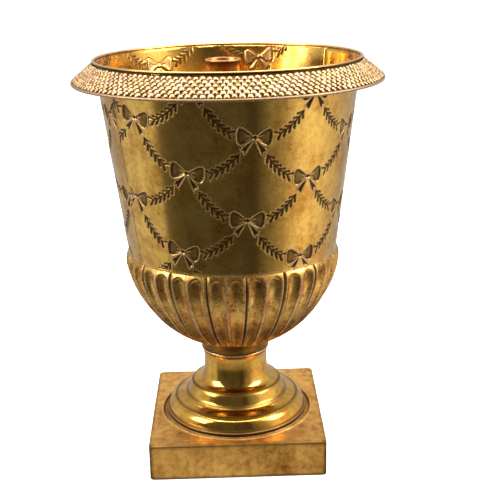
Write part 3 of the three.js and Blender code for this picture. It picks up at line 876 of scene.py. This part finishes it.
def aged_metal(name, clean, film, dirt_and_shade, bloom, gloss, haze, cloud, speck, worn, pitted):
    """Bare metal, polished and then aged.

    clean drifts to film in clouds, mottling and upright streaks of thin tarnish, as strongly as worn says.
    The dark colour lies as dirt in specks, more of them the lower pitted is, and in the hollows that the
    field marks, where it is patina and also painted shade in creases, recesses and undersides. bloom is the
    pale bloom on raised edges. gloss is the roughness where the metal is cleanest, and haze what the tarnish
    adds. cloud and speck are the sizes of the clouds and of the specks."""
    material = bpy.data.materials.new(name)
    material.use_nodes = True
    tree = material.node_tree
    tree.nodes.clear()
    place = add_node(tree, "ShaderNodeTexCoord").outputs["Object"]
    # The tarnish field: patina, and painted shade in creases, recesses and undersides
    hollows_and_shade = add_node(tree, "ShaderNodeAttribute", {"attribute_name": "tarnish_and_shade"}).outputs["Fac"]
    edges = add_node(tree, "ShaderNodeAttribute", {"attribute_name": "edge"}).outputs["Fac"]

    cloud_noise = add_node(tree, NOISE, links={
        "Vector": place, "Scale": 1 / (cloud * MM), "Detail": 6.0, "Roughness": 0.68})
    clouds = add_node(tree, RANGE, links={"Value": cloud_noise, "From Min": 0.40, "From Max": 0.62})
    mottle_noise = add_node(tree, NOISE, links={
        "Vector": place, "Scale": 1 / (0.18 * cloud * MM), "Detail": 4.0, "Roughness": 0.6})
    mottle = add_node(tree, RANGE, links={"Value": mottle_noise, "From Min": 0.42, "From Max": 0.68})
    upright = add_node(tree, "ShaderNodeMapping", links={"Vector": place, "Scale": (1.0, 1.0, 0.22)})
    streak_noise = add_node(tree, NOISE, links={
        "Vector": upright, "Scale": 1 / (0.4 * cloud * MM), "Detail": 3.0, "Roughness": 0.55})
    streaks = add_node(tree, RANGE, links={"Value": streak_noise, "From Min": 0.50, "From Max": 0.72})
    cloudy = add_node(tree, MATH, MULTIPLY, {0: clouds, 1: 0.6 * worn})
    mottled = add_node(tree, MATH, MULTIPLY_ADD, {0: mottle, 1: 0.4 * worn, 2: cloudy})
    tarnish_and_shade = add_node(tree, MATH, {"operation": "MULTIPLY_ADD", "use_clamp": True}, {
        0: streaks, 1: 0.35 * worn, 2: mottled})

    speck_noise = add_node(tree, NOISE, links={
        "Vector": place, "Scale": 1 / (speck * MM), "Detail": 2.0, "Roughness": 0.5})
    specks = add_node(tree, RANGE, links={
        "Value": speck_noise, "From Min": pitted, "From Max": pitted + 0.08})
    scattered = add_node(tree, MATH, MULTIPLY, {0: specks, 1: tarnish_and_shade})
    dirt_and_shade_mask = add_node(tree, MATH, {"operation": "MAXIMUM", "use_clamp": True}, {0: hollows_and_shade, 1: scattered})

    aged = add_node(tree, MIX, COLOURS, {
        0: tarnish_and_shade, 6: linear(clean), 7: linear(film)}).outputs[2]
    bloomed = add_node(tree, MATH, MULTIPLY, {0: edges, 1: 0.85})
    pale = add_node(tree, MIX, COLOURS, {0: bloomed, 6: aged, 7: linear(bloom)}).outputs[2]
    # Dark colour: dirt and patina in specks and hollows, and painted shade where the field marks creases and
    # undersides
    covered = add_node(tree, MATH, MULTIPLY, {0: dirt_and_shade_mask, 1: 0.93})
    colour = add_node(tree, MIX, COLOURS, {0: covered, 6: pale, 7: linear(dirt_and_shade)}).outputs[2]

    hazy = add_node(tree, MATH, MULTIPLY_ADD, {0: tarnish_and_shade, 1: haze, 2: gloss})
    duller = add_node(tree, MATH, MULTIPLY_ADD, {0: hollows_and_shade, 1: 0.32, 2: hazy})
    roughness = add_node(tree, MATH, MULTIPLY_ADD, {0: edges, 1: 0.28, 2: duller})
    under_dirt_and_shade = add_node(tree, MATH, MULTIPLY_ADD, {0: hollows_and_shade, 1: -0.12, 2: 1.0})
    bare = add_node(tree, MATH, {"operation": "MULTIPLY_ADD", "use_clamp": True}, {
        0: edges, 1: -0.45, 2: under_dirt_and_shade})
    uneven = add_node(tree, MATH, ADD, {0: mottle, 1: clouds})
    relief = add_node(tree, "ShaderNodeBump", links={
        "Height": uneven, "Strength": 0.25, "Distance": 0.03 * MM})
    surface = add_node(tree, "ShaderNodeBsdfPrincipled", links={
        "Base Color": colour, "Metallic": bare, "Roughness": roughness, "Normal": relief})
    add_node(tree, "ShaderNodeOutputMaterial", links={"Surface": surface})
    return material


def make_finishes():
    return {
        # Sheet brass, pressed and then polished: near mirror-bright, so its tarnish shows as clouds
        "embossed_brass": aged_metal(
            "pressed sheet brass", clean="#F2C464", film="#BE8436", dirt_and_shade="#24150B", bloom="#9C8E88",
            gloss=0.11, haze=0.16, cloud=22, speck=1.6, worn=1.0, pitted=0.64),
        # The same brass where it was pressed deepest: worked flutes keep brown patches and fine pits
        "fluted_brass": aged_metal(
            "deeply pressed sheet brass", clean="#F2C266", film="#BA7C34", dirt_and_shade="#38220F", bloom="#A89488",
            gloss=0.17, haze=0.20, cloud=12, speck=1.5, worn=1.1, pitted=0.56),
        # Sheet brass, spun on a lathe and polished: the brightest finish
        "polished_brass": aged_metal(
            "spun polished brass", clean="#F0BE58", film="#BC7C2C", dirt_and_shade="#33200F", bloom="#B8A49A",
            gloss=0.09, haze=0.12, cloud=20, speck=1.6, worn=0.8, pitted=0.66),
        # Sheet brass, folded and left to go dull: satin, with brown clouds and dark specks
        "satin_brass": aged_metal(
            "dull folded brass", clean="#F0B85E", film="#9A6226", dirt_and_shade="#2A1C10", bloom="#A08C80",
            gloss=0.38, haze=0.12, cloud=26, speck=1.5, worn=0.85, pitted=0.61),
        # Sheet brass, pressed in beads whose tops are rubbed pale
        "beaded_brass": aged_metal(
            "rubbed beaded brass", clean="#C49A58", film="#A98468", dirt_and_shade="#4A3220", bloom="#C2AC9C",
            gloss=0.18, haze=0.18, cloud=13, speck=1.2, worn=0.9, pitted=0.60),
        # Copper, drawn as a tube and gone brown: warm red-brown, half bright
        "copper": aged_metal(
            "drawn copper", clean="#CC8E48", film="#9A5E2A", dirt_and_shade="#33190D", bloom="#C08A62",
            gloss=0.16, haze=0.16, cloud=12, speck=1.5, worn=0.9, pitted=0.64),
    }


# Studio: a white sweep lit from both sides, dark in front where the camera stands
# Each row is an angle, the light from there and its warmth
STUDIO = (
    (-180, 0.62, 0.0), (-125, 0.58, -0.04), (-102, 0.88, -0.05), (-84, 0.78, -0.04), (-69, 0.68, 0.0),
    (-64, 0.16, 0.0), (-44, 0.10, 0.0), (8, 0.10, 0.0), (22, 0.055, 0.0), (33, 0.24, 0.0), (48, 0.46, 0.03),
    (60, 0.98, 0.05), (72, 1.22, 0.05), (88, 1.08, 0.05), (106, 0.80, 0.03), (130, 0.60, 0.0),
    (180, 0.62, 0.0),
)


def studio_light(tree, direction):
    """Brightness of the studio by the way a reflection looks, from the front towards the right."""
    parts = add_node(tree, "ShaderNodeSeparateXYZ", links={0: direction}).outputs
    forwards = add_node(tree, MATH, MULTIPLY, {0: parts[1], 1: -1.0})
    turn = add_node(tree, MATH, {"operation": "ARCTAN2"}, {0: parts[0], 1: forwards})
    share = add_node(tree, MATH, MULTIPLY_ADD, {0: turn, 1: 0.5 / math.pi, 2: 0.5})
    ramp = add_node(tree, "ShaderNodeValToRGB", links={0: share})
    stops = ramp.color_ramp.elements
    while len(stops) < len(STUDIO):
        stops.new(0.5)
    for stop, (angle, light, warmth) in zip(stops, STUDIO):
        stop.position = angle / 360 + 0.5
        stop.color = (light * (1 + warmth), light, light * (1 - warmth), 1.0)
    return ramp


def make_floor():
    """A white floor, which reflections see as the studio's light, and as a pale grey close to the plinth."""
    turn = np.linspace(0, 2 * math.pi, FLOOR_SIDES, endpoint=False)
    level = np.full(FLOOR_SIDES, -FLOOR_GAP)
    rim = np.stack([FLOOR_RADIUS * np.cos(turn), FLOOR_RADIUS * np.sin(turn), level], axis=-1) * MM
    mesh = bpy.data.meshes.new("floor")
    mesh.from_pydata(rim.tolist(), [], [list(range(FLOOR_SIDES))])
    floor = bpy.data.objects.new("floor", mesh)
    bpy.context.scene.collection.objects.link(floor)
    material = bpy.data.materials.new("matt white card")
    material.use_nodes = True
    tree = material.node_tree
    tree.nodes.clear()
    place = add_node(tree, "ShaderNodeTexCoord").outputs["Object"]
    far = add_node(tree, "ShaderNodeVectorMath", {"operation": "LENGTH"}, {0: place}).outputs["Value"]
    away = add_node(tree, RANGE, {"interpolation_type": "SMOOTHSTEP"}, {
        "Value": far, "From Min": NEAR_FLOOR[0] * MM, "From Max": NEAR_FLOOR[1] * MM})
    path = add_node(tree, "ShaderNodeLightPath").outputs
    card = add_node(tree, "ShaderNodeBsdfDiffuse", links={"Color": linear("#F4F4F5")})
    seen = add_node(tree, MATH, MULTIPLY, {0: path["Is Camera Ray"], 1: 0.55})
    glow = add_node(tree, "ShaderNodeEmission", links={"Color": linear("#FFFFFF"), "Strength": seen})
    lit = add_node(tree, "ShaderNodeAddShader", links={0: card, 1: glow})
    near_light = (NEAR_FLOOR_LIGHT, NEAR_FLOOR_LIGHT, NEAR_FLOOR_LIGHT, 1.0)
    mirrored = add_node(tree, MIX, COLOURS, {
        0: away, 6: near_light, 7: studio_light(tree, place)}).outputs[2]
    reflected = add_node(tree, "ShaderNodeEmission", links={"Color": mirrored, "Strength": 0.9})
    both = add_node(tree, "ShaderNodeMixShader", links={0: path["Is Glossy Ray"], 1: lit, 2: reflected})
    add_node(tree, "ShaderNodeOutputMaterial", links={"Surface": both})
    mesh.materials.append(material)


def make_world():
    world = bpy.data.worlds.new("studio")
    bpy.context.scene.world = world
    world.use_nodes = True
    tree = world.node_tree
    tree.nodes.clear()
    direction = add_node(tree, "ShaderNodeTexCoord").outputs["Generated"]
    upwards = add_node(tree, "ShaderNodeSeparateXYZ", links={0: direction}).outputs[2]
    overhead = add_node(tree, RANGE, {"interpolation_type": "SMOOTHSTEP"}, {
        "Value": upwards, "From Min": 0.86, "From Max": 0.97})
    above = (OVERHEAD_LIGHT, OVERHEAD_LIGHT, OVERHEAD_LIGHT, 1.0)
    room = add_node(tree, MIX, COLOURS, {
        0: overhead, 6: studio_light(tree, direction), 7: above}).outputs[2]
    seen = add_node(tree, "ShaderNodeLightPath").outputs["Is Camera Ray"]
    shown = add_node(tree, MIX, COLOURS, {0: seen, 6: room, 7: (1.0, 1.0, 1.0, 1.0)}).outputs[2]
    background = add_node(tree, "ShaderNodeBackground", links={"Color": shown, "Strength": 1.0})
    add_node(tree, "ShaderNodeOutputWorld", links={"Surface": background})


def add_lamp(name, place, size, power):
    lamp = bpy.data.lights.new(name, "AREA")
    lamp.shape = "RECTANGLE"
    lamp.size, lamp.size_y = size[0] * MM, size[1] * MM
    lamp.energy = power
    holder = bpy.data.objects.new(name, lamp)
    bpy.context.scene.collection.objects.link(holder)
    away = [place[k] - LAMP_AIM[k] for k in range(3)]
    back = math.hypot(away[0], away[1])
    holder.matrix_world = (Matrix.Translation([value * MM for value in place])
                           @ Matrix.Rotation(math.atan2(away[0], -away[1]), 4, "Z")
                           @ Matrix.Rotation(math.atan2(back, away[2]), 4, "X"))
    holder.visible_camera = False


def make_lights():
    add_lamp("left softbox", (-900, -350, 700), (500, 700), 11)
    add_lamp("right softbox", (900, -250, 800), (500, 700), 12)
    add_lamp("top softbox", (0, 150, 1500), (1500, 1500), 40)


def make_camera():
    lens = bpy.data.cameras.new("camera")
    lens.lens = CAMERA_LENS
    lens.sensor_width = 36
    camera = bpy.data.objects.new("camera", lens)
    bpy.context.scene.collection.objects.link(camera)
    camera.matrix_world = (Matrix.Translation([value * MM for value in CAMERA_PLACE])
                           @ Matrix.Rotation(math.radians(-CAMERA_TO_RIGHT), 4, "Z")
                           @ Matrix.Rotation(math.radians(90 - CAMERA_DOWN), 4, "X")
                           @ Matrix.Rotation(math.radians(-CAMERA_TILT), 4, "Z"))
    bpy.context.scene.camera = camera


make_camera()
FINISHES = make_finishes()
wall_panel("front")
wall_panel("back")
fluted_bowl()
lower_band()
lip()
collar_sheet()
collar_beads()
foot()
plinth()
centre_tube()
make_floor()
make_world()
make_lights()
bpy.context.scene.view_settings.view_transform = "Standard"
